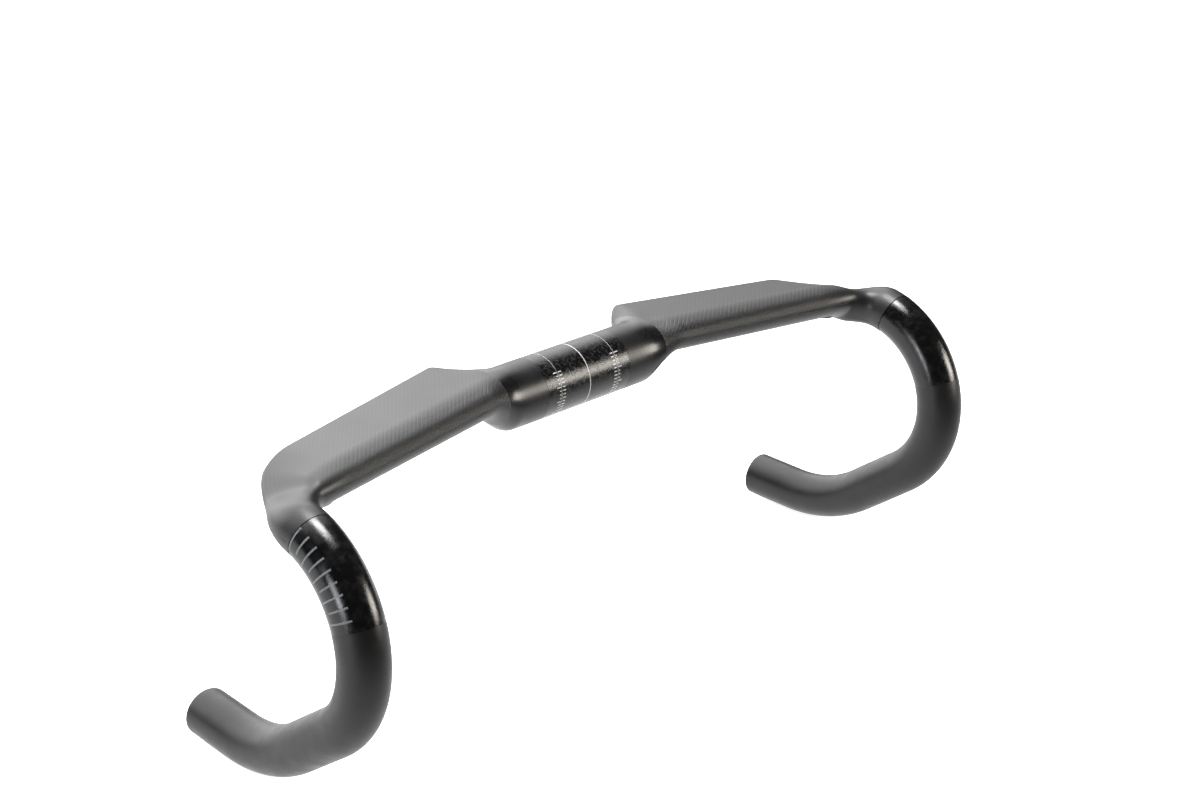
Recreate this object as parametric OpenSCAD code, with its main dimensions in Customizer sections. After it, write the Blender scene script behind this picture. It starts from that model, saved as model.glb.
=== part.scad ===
// Drop handlebar with wing-shaped tops and round drops.
// Frame: origin at the middle of the stem clamp, X along the clamp axis
// (+X is the rider's left), -Y points forward, +Z up. Millimetres.

/* [Overall] */
// Distance between the drop tube axes at the levers
bar_width = 400; // [390:5:440]
// Outside diameter of the drop tubes
drop_d = 23.8; // [22.2:0.2:23.8]
// Wall of the drop tubes
drop_wall = 2.2; // [1.6:0.1:3]

/* [Stem clamp] */
// Outside diameter where the stem clamps
clamp_d = 31.8; // [31.8:0.1:31.8]
// Wall of the clamp tube
clamp_wall = 3; // [2:0.1:4]
// Length of the round clamp tube
clamp_len = 84; // [80:1:88]
// Length of the textured grip film
film_len = 56.5; // [50:0.5:70]
// Thickness of the grip films
film_t = 0.15; // [0.1:0.05:0.3]

/* [Wing tops] */
// Wall of the wing skins
skin_wall = 1.8; // [1.4:0.1:2.2]
// Height of the wing section at its nose
wing_h = 18; // [16:0.5:20]
// Length of the rounded nose as a share of the chord
nose_share = 0.3; // [0.22:0.01:0.4]
// Thickness of the trailing edge
tail_t = 3.6; // [3:0.1:5]
// Forward sweep of the nose edge, mm per mm of span
nose_sweep = 0.1385; // [0.1:0.005:0.18]
// Forward sweep of the trailing edge, mm per mm of span
tail_sweep = 0.171; // [0.12:0.005:0.2]
// Sharpness of the rear outer corner
corner_pow = 14; // [6:1:24]

/* [Drops] */
// Downward slope of the tube where it leaves the elbow
lever_slope = 16; // [10:1:22]
// Radius of the hook bend
hook_r = 51; // [44:0.5:56]
// Angle turned by the hook bend
hook_angle = 130; // [122:0.5:134]
// Part of the hook bend that belongs to the elbow
neck_angle = 6.5; // [5:0.5:9]
// How much narrower than the drop tube the elbow's neck is
neck_in = 1.4; // [0:0.1:3]
// How much lower than the drop tube the top of the elbow's neck is
neck_low = 2.2; // [0:0.1:4]
// Straight run below the hook
lower_run = 33; // [26:0.5:40]
// Radius of the end bend
end_bend_r = 74.5; // [60:0.5:90]
// Angle turned by the end bend
end_bend_angle = 38.5; // [30:0.5:42]
// Straight run at the open end
end_run = 27; // [20:0.5:40]
// Angle by which the drops run inward to the rear
toe = 1.7; // [0:0.1:3]
// Angle of the hook bend covered by the lever grip film
lever_film_angle = 50; // [40:1:60]
// Number of lever position marks
lever_marks = 9; // [5:1:11]

/* [Cable ports] */
// Diameter of the hose hole in each grommet
hose_d = 5.6; // [5:0.1:6]
// Outside diameter of the grommet's neck
grommet_d = 8.4; // [8:0.2:9]
// Outside diameter of the grommet's flange
flange_d = 10.8; // [10.4:0.2:11.4]

/* [Hidden] */

fine = 96;                       // facets of the round pieces
eps = 0.5;                       // how far cutters run past a face
ring_n = 40;                     // points around a wing section
elbow_n = 20;                    // steps around the elbow
neck_n = 4;                      // steps along the elbow's part of the hook
// Steps along the straight wing, as shares of its length
wing_shares = [0.03, 0.1, 0.3, 0.5, 0.7, 0.8, 0.86, 0.91, 0.96];
clamp_r = clamp_d / 2;
drop_r = drop_d / 2;
drop_ri = drop_r - drop_wall;
half_w = bar_width / 2;

mark_t = 0.1;                    // thickness of the printed marks
line_w = 0.4;                    // width of the centre line
scale_x = 19.5;                  // span position of the clamp's angle scale
scale_line_w = 0.2;
scale_marks = 13;
scale_start = 38;                // angle of the first dash above the front
scale_step = 6.8;
dash_w = 0.5;
// Span of the dashes from the scale's line: one towards the middle of the
// bar, one away from it, the latter long or short
dash_inner = [-2.6, -0.7];
dash_outer = [[0.5, 2.8], [0.5, 1.4]];
long_every = 4;
lever_mark_angle = 0.9;          // width of a lever mark along the bend
lever_mark_from = [-3, -0.5];    // their lower ends below the tube's side,
                                 // long and short marks in turn
shoulder_wall = 3;
sleeve_wall = 1.6;
shoulder_spigot = [14, 3];       // sleeve's reach into tube and shoulder
shoulder_gap = 0.3;
glue_gap = 0.1;
spigot_angle = 3;                // drop sleeve's reach into the elbow
sleeve_angle = 20;
lap = 0.8;                       // overlap of straight runs with the bends
hair = 0.05;                     // and how much thinner their walls are
seat_depth = 1.2;                // depth of the flange's seat in the skin
flange_t = 1.4;
neck_len = 2.2;
cut_up = 6;                      // reach of the port cutters into the wing
cut_down = 4;                    // and below it
// Ports in the underside, at the tip and near the clamp: the middle of
// each, and how far its axis tilts from vertical about X and Y.
tip_port = [[173, -21, -8.1], [-8.7, 8.4, 0]];
centre_port = [[76, 0, -2.6], [11, 1.2, 0]];
ports = [tip_port, centre_port];

// Stations of the wing: the span position up to the elbow, then the span
// position of the elbow's pivot plus the degrees turned around it.
x_tube = clamp_len / 2;          // clamp tube to shoulder joint
x_skin = 54;                     // shoulder to wing skin joint
x_flare = [45, 66];              // where the round tube turns into the wing
arm = 20;                        // pivot to the drop tube's axis
pivot = [half_w - arm, -43];     // plan position the elbow turns around
turn = 90 - toe;                 // angle turned by the elbow
round_angle = 86;                // elbow angle at which the wing section ends
slope_from = 45;                 // elbow angle at which the tube starts to fall
neck_from = 45;                  // elbow angle at which the neck starts to widen
cut_angle = 55;                  // direction of the cut across the rear corner
cut_dist = 33;                   // its distance from the pivot
tail_share = 0.05;               // rounded tail's share of the chord
belly = 1.7;                     // how fast the section thickens from there
tail_inset = 4;                  // inset of the inner tail per mm of wall
tail_fall = 12;                  // fall of the outer edge around the elbow
fall_from = 165;                 // station where the fall starts
fall_len = 40;                   // stations over which it falls
elbow_end_z = -4.9;              // height of the tube axis where the hook starts

// Wing edges at the reference station, the root of the wing
x_ref = 64;
nose_ref_y = -18.6;
tail_ref_y = 30.4;
nose_ref_top = 15.6;
tail_ref_top = 14.6;
nose_droop = 0.0395;             // fall of the top at the nose, mm per mm
tail_droop = 0.0655;             // fall of the top at the tail, mm per mm

function lerp(a, b, t) = a + (b - a) * t;
function clamp01(t) = min(1, max(0, t));
function smooth(t) = let (u = clamp01(t)) u * u * (3 - 2 * u);

// Share of the wing section in the blend with the round clamp tube
function flare(u) = smooth((u - x_flare[0]) / (x_flare[1] - x_flare[0]));
// Share of the round drop tube in the blend with the wing section
function rounding(u) = smooth((u - pivot.x) / round_angle);
function bend_angle(u) = max(0, u - pivot.x);

// Distance of the front and rear edge from the pivot line, measured across
// the span before the elbow and along the radius in the elbow.
function wing_nose(u) = nose_ref_y - nose_sweep * (min(u, pivot.x) - x_ref) - pivot.y;
function wing_tail(u) = tail_ref_y - tail_sweep * (min(u, pivot.x) - x_ref) - pivot.y;
function inner_edge(u) = lerp(wing_nose(u), arm - drop_r, smooth(bend_angle(u) / turn));
// The plan outline is the soft minimum of the trailing edge, the cut
// across the rear corner and the outer side of the tube.
function cut_line(u) =
    let (a = bend_angle(u))
    a == 0 ? (cut_dist + (pivot.x - u) * sin(cut_angle)) / cos(cut_angle)
           : cut_dist / cos(a - cut_angle);
function outer_edge(u) =
    let (a = bend_angle(u), p = corner_pow,
         rear = wing_tail(pivot.x) / max(0.02, cos(a)),
         side = (arm + drop_r) / max(0.02, sin(a)))
    pow(pow(a == 0 ? wing_tail(u) : rear, -p) + pow(cut_line(u), -p)
        + pow(side, -p), -1 / p);
function nose_top(u) = nose_ref_top - nose_droop * (min(u, pivot.x) - x_ref);
function tail_top(u) = tail_ref_top - tail_droop * (min(u, pivot.x) - x_ref)
                       - tail_fall * smooth((u - fall_from) / fall_len);

// Half thickness of the wing section at share t of the chord, 0 at the
// tail and 1 at the nose: first without, then with its rounded ends.
function body_half(t, half, tail) =
    let (k = clamp01((t - tail_share) / (1 - tail_share - nose_share)))
    lerp(tail, half, 1 - pow(1 - k, belly));
function end_round(t) =
    let (a = clamp01((tail_share - t) / tail_share),
         b = clamp01((t - 1 + nose_share) / nose_share))
    sqrt(max(0, 1 - a * a)) * sqrt(max(0, 1 - b * b));

// Point of the wing section at angle f (0 tail, 90 top, 180 nose) as
// distance from the pivot line and height. g is the skin's inset.
function wing_point(u, f, g) =
    let (t = (1 - cos(f)) / 2,
         tail = outer_edge(u) - tail_inset * g,
         nose = inner_edge(u) + g,
         half = wing_h / 2 - g,
         th = body_half(t, half, max(0.25, tail_t / 2 - g)),
         top = lerp(tail_top(u), nose_top(u), t) - g)
    [lerp(tail, nose, t), top - th + sign(sin(f)) * th * end_round(t)];
// The same angle on the clamp tube and on the elbow's neck, which is
// narrower on its outer side and lower on top until it meets the drop tube.
function clamp_point(f, g) =
    [-pivot.y + (clamp_r - g) * cos(f), (clamp_r - g) * sin(f)];
function neck_share(u) =
    1 - smooth((bend_angle(u) - neck_from) / (turn + neck_angle - neck_from));
// Height of the tube axis above elbow_end_z, as it bends down to the hook
function axis_rise(u) =
    let (t = clamp01((turn - bend_angle(u)) / (turn - slope_from)))
    tan(lever_slope) * arm * (turn - slope_from) * PI / 180 * (t - t * t / 2);
function neck_point(u, f, g) =
    let (a = neck_in / 2 * neck_share(u), b = neck_low / 2 * neck_share(u))
    [arm - a + (drop_r - a - g) * cos(f),
     elbow_end_z + axis_rise(u) - b + (drop_r - b - g) * sin(f)];
function section_point(u, f, g) =
    let (w = wing_point(u, f, g),
         a = lerp(clamp_point(f, g), w, flare(u)))
    lerp(a, neck_point(u, f, g), rounding(u));

// Puts a section point into space. The elbow's rings lean until they
// stand square to the sloping tube, and then follow the hook bend.
function place(u, p) =
    let (a = min(turn, bend_angle(u)), lean = lever_slope * smooth(a / turn),
         up = p.y - elbow_end_z,
         q = a == 0 ? [u, pivot.y + p.x, p.y]
                    : [pivot.x + p.x * sin(a) + up * sin(lean) * cos(a),
                       pivot.y + p.x * cos(a) - up * sin(lean) * sin(a),
                       elbow_end_z + up * cos(lean)])
    hook_turn(q, max(0, bend_angle(u) - turn));
// Turns a point by h degrees along the hook bend
function hook_turn(q, h) =
    let (dx = q.x - half_w, dy = q.y - pivot.y,
         x = dx * cos(toe) + dy * sin(toe),
         v = [pivot.y - dx * sin(toe) + dy * cos(toe), q.z] - hook_centre,
         w = hook_centre + [v.x * cos(h) - v.y * sin(h), v.x * sin(h) + v.y * cos(h)])
    [half_w + x * cos(toe) - (w.x - pivot.y) * sin(toe),
     pivot.y + x * sin(toe) + (w.x - pivot.y) * cos(toe), w.y];

// Ring of points over the angles f0 to f1, outside then back inside
function band_ring(u, f0, f1, g) =
    let (n = ring_n / 2)
    concat([for (i = [0 : n]) place(u, section_point(u, lerp(f0, f1, i / n), 0))],
           [for (i = [n : -1 : 0]) place(u, section_point(u, lerp(f0, f1, i / n), g))]);
function full_ring(u, g) =
    [for (i = [0 : ring_n - 1]) place(u, section_point(u, 360 * i / ring_n, g))];

// Closed solid through a list of rings of equal length. A band's ring
// runs out and back, so its ends are closed by strips across the band.
module loft(rings, band = false) {
    n = len(rings[0]);
    m = len(rings);
    start = band ? [for (i = [0 : n / 2 - 2]) [i, i + 1, n - 2 - i, n - 1 - i]]
                 : [[for (i = [0 : n - 1]) i]];
    polyhedron(
        points = [for (r = rings) each r],
        faces = concat(
            start,
            [for (f = start) [for (i = [len(f) - 1 : -1 : 0]) (m - 1) * n + f[i]]],
            [for (j = [0 : m - 2], i = [0 : n - 1])
                let (k = (i + 1) % n)
                [j * n + i, (j + 1) * n + i, (j + 1) * n + k, j * n + k]]),
        convexity = 6);
}

// Stations along the wing and around the elbow
shoulder_steps = [for (x = [x_tube : 1.5 : x_skin]) x];
skin_steps = concat([for (x = [x_skin : 1 : x_flare[1]]) x],
                    [for (s = wing_shares) lerp(x_flare[1], pivot.x, s)],
                    [for (i = [0 : elbow_n]) pivot.x + turn * i / elbow_n],
                    [for (i = [1 : neck_n]) pivot.x + turn + neck_angle * i / neck_n]);

// Builds the +X half, or its mirror image for the rider's right
module on_side(side) {
    if (side > 0) children();
    else mirror([1, 0, 0]) children();
}

// Tube around the X axis from x0 to x1
module x_tube_solid(x0, x1, ro, ri) {
    translate([x0, 0, 0])
        rotate([0, 90, 0])
            difference() {
                cylinder(r = ro, h = x1 - x0, $fn = fine);
                translate([0, 0, -eps])
                    cylinder(r = ri, h = x1 - x0 + 2 * eps, $fn = fine);
            }
}

// ---- Path of a drop, in its own plane as [y, z] -------------------------
// a is the downward slope of the tube seen while following it forwards.
function along(a) = [-cos(a), -sin(a)];
function inward(a) = [sin(a), -cos(a)];
function after_run(p, a, len) = p + len * along(a);
function after_bend(p, a, r, ang) = p + r * inward(a) - r * inward(a + ang);

hook_start = [pivot.y, elbow_end_z];
hook_centre = hook_start + hook_r * inward(lever_slope);
a_tube = lever_slope + neck_angle;
tube_start = after_bend(hook_start, lever_slope, hook_r, neck_angle);
before_tube = after_bend(tube_start, a_tube, hook_r, -1);
hook_end = after_bend(hook_start, lever_slope, hook_r, hook_angle);
a_lower = lever_slope + hook_angle;
lower_end = after_run(hook_end, a_lower, lower_run);
end_start = after_bend(lower_end, a_lower, end_bend_r, end_bend_angle);
a_end = a_lower + end_bend_angle;
bar_end = after_run(end_start, a_end, end_run);

// Moves a solid from the drop's own plane to its place on the bar
module in_drop_plane() {
    translate([half_w, pivot.y, 0])
        rotate([0, 0, toe])
            translate([0, -pivot.y, 0])
                children();
}
// Straight tube that reaches lap mm into the bends at its ends. It is a
// hair thinner than they are, so its ends lie inside their walls.
module run_tube(p, a, len, lap0, lap1) {
    q = after_run(p, a, -lap0);
    h = len + lap0 + lap1;
    translate([0, q.x, q.y])
        rotate([90 + a, 0, 0])
            difference() {
                cylinder(r = drop_r - hair, h = h, $fn = fine);
                translate([0, 0, -eps])
                    cylinder(r = drop_ri + hair, h = h + 2 * eps, $fn = fine);
            }
}
module bend_tube(p, a, r, ang, ro, ri) {
    c = p + r * inward(a);
    translate([0, c.x, c.y])
        rotate([a, 0, 0])
            rotate([0, -90, 180])
                rotate_extrude(angle = ang, $fn = fine)
                    translate([r, 0])
                        difference() {
                            circle(r = ro, $fn = fine);
                            circle(r = ri, $fn = fine);
                        }
}

// ---- Centre -----------------------------------------------------------
// Round carbon tube that the stem clamps, recessed for the grip film
module clamp_tube() {
    color("#1d1d1f")
        difference() {
            x_tube_solid(-x_tube, x_tube, clamp_r, clamp_r - clamp_wall);
            x_tube_solid(-film_len / 2, film_len / 2, clamp_r + 1, clamp_r - film_t);
        }
}
// Textured grip film around the clamp
module clamp_grip_film() {
    color("#242424")
        x_tube_solid(-film_len / 2, film_len / 2, clamp_r, clamp_r - film_t);
}
module mark_ring(x0, x1) {
    x_tube_solid(x0, x1, clamp_r + mark_t, clamp_r);
}
// Printed line around the middle of the clamp
module clamp_centre_mark() {
    color("#d8d8d8")
        mark_ring(-line_w / 2, line_w / 2);
}
// Printed angle scale: a fine line with dashes on both sides of it, across
// the front of the clamp
module clamp_scale(side) {
    color("#e6e6e6")
        on_side(side) {
            mark_ring(scale_x - scale_line_w / 2, scale_x + scale_line_w / 2);
            for (i = [0 : scale_marks - 1],
                 span = [dash_inner, dash_outer[i % long_every == 0 ? 0 : 1]])
                intersection() {
                    mark_ring(scale_x + span[0], scale_x + span[1]);
                    rotate([scale_start - i * scale_step, 0, 0])
                        translate([0, -2 * clamp_r, -dash_w / 2])
                            cube([x_tube, 2 * clamp_r, dash_w]);
                }
        }
}
module clamp_scale_left() { clamp_scale(1); }
module clamp_scale_right() { clamp_scale(-1); }

// ---- Shoulders ----------------------------------------------------------
// Moulded piece that turns the round clamp tube into the wing section
module shoulder(side) {
    color("#161617")
        on_side(side)
            difference() {
                loft([for (u = shoulder_steps) full_ring(u, 0)]);
                loft([for (u = concat([x_tube - eps], shoulder_steps, [x_skin + eps]))
                        full_ring(u, shoulder_wall)]);
            }
}
module shoulder_left() { shoulder(1); }
module shoulder_right() { shoulder(-1); }

// Sleeve bonded inside the joint of clamp tube and shoulder
module shoulder_sleeve(side) {
    color("#2b2b2e")
        on_side(side) {
            ri = clamp_r - clamp_wall - sleeve_wall;
            ro = clamp_r - clamp_wall;
            x_tube_solid(x_tube - shoulder_spigot[0], x_tube, ro, ri);
            x_tube_solid(x_tube, x_tube + shoulder_spigot[1], ro - shoulder_gap, ri);
        }
}
module shoulder_sleeve_left() { shoulder_sleeve(1); }
module shoulder_sleeve_right() { shoulder_sleeve(-1); }

// ---- Wing skins ---------------------------------------------------------
module upper_skin(side) {
    color("#3a3a3c")
        on_side(side)
            loft([for (u = skin_steps) band_ring(u, 0, 180, skin_wall)], band = true);
}
module wing_upper_skin_left() { upper_skin(1); }
module wing_upper_skin_right() { upper_skin(-1); }

// The lower skin carries the two cable ports, each with a flange seat
module lower_skin(side) {
    color("#2a2a2c")
        on_side(side)
            difference() {
                loft([for (u = skin_steps) band_ring(u, 180, 360, skin_wall)], band = true);
                for (p = ports)
                    translate(p[0])
                        rotate(p[1]) {
                            translate([0, 0, -cut_down])
                                cylinder(d = grommet_d, h = cut_down + cut_up, $fn = fine);
                            translate([0, 0, -cut_down])
                                cylinder(d = flange_d, h = cut_down + seat_depth,
                                         $fn = fine);
                        }
            }
}
module wing_lower_skin_left() { lower_skin(1); }
module wing_lower_skin_right() { lower_skin(-1); }

// ---- Drops ----------------------------------------------------------------
// Bent carbon tube, recessed by the film's thickness where the film sits
module drop_tube(side) {
    color("#2e2e30")
        on_side(side)
            in_drop_plane() {
                difference() {
                    bend_tube(tube_start, a_tube, hook_r, hook_angle - neck_angle,
                              drop_r, drop_ri);
                    bend_tube(before_tube, a_tube - 1, hook_r, lever_film_angle + 1,
                              drop_r + 1, drop_r - film_t);
                }
                run_tube(hook_end, a_lower, lower_run, lap, lap);
                bend_tube(lower_end, a_lower, end_bend_r, end_bend_angle, drop_r, drop_ri);
                run_tube(end_start, a_end, end_run, lap, 0);
            }
}
module drop_tube_left() { drop_tube(1); }
module drop_tube_right() { drop_tube(-1); }

// Sleeve bonded inside the joint of elbow and drop tube
module drop_sleeve(side) {
    color("#2b2b2e")
        on_side(side)
            in_drop_plane()
                let (p = after_bend(tube_start, a_tube, hook_r, -spigot_angle))
                    bend_tube(p, a_tube - spigot_angle, hook_r, sleeve_angle,
                              drop_ri - glue_gap, drop_ri - glue_gap - sleeve_wall);
}
module drop_sleeve_left() { drop_sleeve(1); }
module drop_sleeve_right() { drop_sleeve(-1); }

// Gloss film that the lever clamps onto
module lever_grip_film(side) {
    color("#101012")
        on_side(side)
            in_drop_plane()
                bend_tube(tube_start, a_tube, hook_r, lever_film_angle,
                          drop_r, drop_r - film_t);
}
module lever_grip_film_left() { lever_grip_film(1); }
module lever_grip_film_right() { lever_grip_film(-1); }

// Printed lever position marks on the outer side of the drop
module lever_scale(side) {
    color("#8a8d90")
        on_side(side)
            in_drop_plane()
                for (i = [0 : lever_marks - 1])
                    let (a = lever_film_angle * i / lever_marks,
                         low = lever_mark_from[i % 2],
                         p = after_bend(tube_start, a_tube, hook_r, a))
                        intersection() {
                            bend_tube(p, a_tube + a, hook_r, lever_mark_angle,
                                      drop_r + mark_t, drop_r);
                            translate([0, p.x, p.y])
                                rotate([a_tube + a, 0, 0])
                                    translate([0, -drop_r, low])
                                        cube([2 * drop_r, 2 * drop_r, drop_r + lever_mark_from[0] - low]);
                        }
}
module lever_scale_left() { lever_scale(1); }
module lever_scale_right() { lever_scale(-1); }

// ---- Grommets -------------------------------------------------------------
// Rubber ring that lines a cable port: a flange outside, a neck inside
module grommet(side, port) {
    color("#0c0c0d")
        on_side(side)
            translate(port[0])
                rotate(port[1])
                    translate([0, 0, seat_depth])
                        rotate_extrude($fn = fine)
                            polygon([[hose_d / 2, -flange_t],
                                     [flange_d / 2, -flange_t],
                                     [flange_d / 2, 0],
                                     [grommet_d / 2, 0],
                                     [grommet_d / 2, neck_len],
                                     [hose_d / 2, neck_len]]);
}
module tip_port_grommet_left() { grommet(1, tip_port); }
module tip_port_grommet_right() { grommet(-1, tip_port); }
module centre_port_grommet_left() { grommet(1, centre_port); }
module centre_port_grommet_right() { grommet(-1, centre_port); }

clamp_tube();
clamp_grip_film();
clamp_centre_mark();
clamp_scale_left();
clamp_scale_right();
shoulder_left();
shoulder_right();
shoulder_sleeve_left();
shoulder_sleeve_right();
wing_upper_skin_left();
wing_upper_skin_right();
wing_lower_skin_left();
wing_lower_skin_right();
drop_tube_left();
drop_tube_right();
drop_sleeve_left();
drop_sleeve_right();
lever_grip_film_left();
lever_grip_film_right();
lever_scale_left();
lever_scale_right();
tip_port_grommet_left();
tip_port_grommet_right();
centre_port_grommet_left();
centre_port_grommet_right();
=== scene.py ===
"""Looks of a drop handlebar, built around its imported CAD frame.

The shape code works in millimetres with the formulas of part.scad, and the
meshes are made in metres. +X is the rider's left, -Y points forward, +Z up.
Angles are in degrees unless said.
"""
import math

import bmesh
import bpy
import numpy as np
from mathutils import Matrix, Vector


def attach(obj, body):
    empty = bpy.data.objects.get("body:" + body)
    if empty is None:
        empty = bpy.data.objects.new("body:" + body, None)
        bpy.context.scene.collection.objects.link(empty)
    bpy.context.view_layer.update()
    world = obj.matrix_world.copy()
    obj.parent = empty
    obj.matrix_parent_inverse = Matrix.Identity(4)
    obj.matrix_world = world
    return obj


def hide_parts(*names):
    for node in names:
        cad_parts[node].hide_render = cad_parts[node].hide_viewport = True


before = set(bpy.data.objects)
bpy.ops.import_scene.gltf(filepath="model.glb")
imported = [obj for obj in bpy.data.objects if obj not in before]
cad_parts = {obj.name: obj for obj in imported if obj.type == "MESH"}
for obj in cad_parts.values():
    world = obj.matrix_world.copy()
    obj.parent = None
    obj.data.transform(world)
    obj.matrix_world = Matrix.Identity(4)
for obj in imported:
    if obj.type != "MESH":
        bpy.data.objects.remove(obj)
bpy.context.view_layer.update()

MM = 0.001
SIDES = ((1, "left"), (-1, "right"))

# ---- Camera, floor and light ------------------------------------------------
scene = bpy.context.scene
scene.view_settings.view_transform = "Standard"
scene.view_settings.look = "None"

CAMERA_AT = Vector((-0.7316, -0.7471, 0.3823))
CAMERA_RIGHT = Vector((0.700502, -0.713548, -0.012098))
CAMERA_FORWARD = Vector((0.664400, 0.658254, -0.353941))
CAMERA_LENS = 67.58
FLOOR_Z = -0.1393                # just under the drops

# As light, the world glows from one soft patch high at the back, and the
# floor glows weakly in front of the bar and strongly behind it.
GLOW_WAY = (0.06, 0.75, 0.66)    # direction of the patch
GLOW_SPREAD = (0.56, 0.85)       # cosine of the angle from it: edge and full glow
WORLD_GLOW = (0.05, 4.0)         # outside the patch and in it
FLOOR_Y = (-0.4, 0.05)
FLOOR_GLOW = (0.22, 1.5)


def add_camera():
    data = bpy.data.cameras.new("camera")
    data.lens = CAMERA_LENS
    data.sensor_width = 36.0
    data.clip_end = 50.0
    cam = bpy.data.objects.new("camera", data)
    forward = CAMERA_FORWARD.normalized()
    right = CAMERA_RIGHT.normalized()
    up = right.cross(forward)
    rot = Matrix((right, up, -forward)).transposed()
    cam.matrix_world = Matrix.Translation(CAMERA_AT) @ rot.to_4x4()
    scene.collection.objects.link(cam)
    scene.camera = cam


def area_light(name, at, size, power, color=(1, 1, 1)):
    """Soft rectangular light that points at the middle of the clamp."""
    data = bpy.data.lights.new(name, "AREA")
    data.shape = "RECTANGLE"
    data.size, data.size_y = size
    data.energy = power
    data.color = color
    light = bpy.data.objects.new(name, data)
    light.location = at
    light.rotation_euler = (-Vector(at)).to_track_quat("-Z", "Y").to_euler()
    scene.collection.objects.link(light)


class Tree:
    """Short names for making nodes in one shader tree."""

    def __init__(self, owner):
        owner.use_nodes = True
        self.nt = owner.node_tree
        self.nt.nodes.clear()

    def new(self, kind):
        return self.nt.nodes.new("ShaderNode" + kind)

    def link(self, a, b):
        self.nt.links.new(a, b)

    def split(self, vector):
        """The X, Y and Z sockets of a vector."""
        node = self.new("SeparateXYZ")
        self.link(vector, node.inputs[0])
        return node.outputs

    def math(self, op, a, b=None, clamp=False):
        node = self.new("Math")
        node.operation = op
        node.use_clamp = clamp
        for i, v in enumerate((a, b)):
            if v is None:
                continue
            if isinstance(v, (int, float)):
                node.inputs[i].default_value = v
            else:
                self.link(v, node.inputs[i])
        return node.outputs[0]

    def ramp(self, value, low, high, to_low, to_high):
        node = self.new("MapRange")
        node.interpolation_type = "SMOOTHSTEP"
        for key, v in (("From Min", low), ("From Max", high),
                       ("To Min", to_low), ("To Max", to_high)):
            node.inputs[key].default_value = v
        self.link(value, node.inputs["Value"])
        return node.outputs["Result"]

    def dot(self, vector, direction):
        node = self.new("VectorMath")
        node.operation = "DOT_PRODUCT"
        node.inputs[1].default_value = direction
        self.link(vector, node.inputs[0])
        return node.outputs["Value"]

    def seen_or_lit(self, seen, lit, out):
        """One shader for what the picture shows, another for what lights it."""
        mix = self.new("MixShader")
        self.link(self.new("LightPath").outputs["Is Camera Ray"], mix.inputs["Fac"])
        self.link(lit, mix.inputs[1])
        self.link(seen, mix.inputs[2])
        self.link(mix.outputs[0], out.inputs["Surface"])


def add_world():
    """White to the camera. As light it glows from high at the back."""
    world = bpy.data.worlds.new("studio")
    scene.world = world
    t = Tree(world)
    out = t.new("OutputWorld")
    seen = t.new("Background")
    seen.inputs["Color"].default_value = (1, 1, 1, 1)
    lit = t.new("Background")
    way = t.new("TexCoord").outputs["Generated"]
    glow = t.ramp(t.dot(way, GLOW_WAY), *GLOW_SPREAD, *WORLD_GLOW)
    t.link(glow, lit.inputs["Strength"])
    t.seen_or_lit(seen.outputs[0], lit.outputs[0], out)


def add_floor():
    bm = bmesh.new()
    bmesh.ops.create_grid(bm, x_segments=8, y_segments=8, size=8.0)
    data = bpy.data.meshes.new("floor")
    bm.to_mesh(data)
    bm.free()
    floor = bpy.data.objects.new("floor", data)
    floor.location.z = FLOOR_Z
    scene.collection.objects.link(floor)
    mat = bpy.data.materials.new("floor_white")
    t = Tree(mat)
    out = t.new("OutputMaterial")
    seen = t.new("BsdfPrincipled")
    seen.inputs["Base Color"].default_value = (0.9, 0.9, 0.9, 1)
    seen.inputs["Roughness"].default_value = 0.9
    seen.inputs["Specular IOR Level"].default_value = 0.0
    seen.inputs["Emission Color"].default_value = (1, 1, 1, 1)
    seen.inputs["Emission Strength"].default_value = 0.85
    lit = t.new("Emission")
    place = t.split(t.new("TexCoord").outputs["Object"])
    t.link(t.ramp(place["Y"], *FLOOR_Y, *FLOOR_GLOW), lit.inputs["Strength"])
    t.seen_or_lit(seen.outputs[0], lit.outputs[0], out)
    data.materials.append(mat)


add_camera()
add_world()
add_floor()
area_light("warm_soft", (1.04, -1.04, 0.29), (0.55, 0.5), 12, (1, 0.95, 0.86))
area_light("cool_soft", (-1.48, -0.21, 0.16), (0.35, 0.4), 5, (0.93, 0.94, 1.0))
area_light("top_soft", (0.1, 0.0, 1.5), (0.55, 0.55), 24)


# ---- Materials ----------------------------------------------------------------
TOW = 0.7                        # width of one tow of the twill, mm
REPEAT = 4.0                     # tows after which 2/2 twill repeats
WEAVE_ENDS = (0.16, 0.186)       # from the middle of the bar, m: twill to plain
WEAVE_FADES = (9.0, 22.0)        # from the nose, mm: twill to sanded smooth
SANDED = 0.06                    # share of the twill that still shows there
GLOSS_FROM = (0.036, 0.05)       # from the middle of the bar, m: satin to gloss


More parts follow.
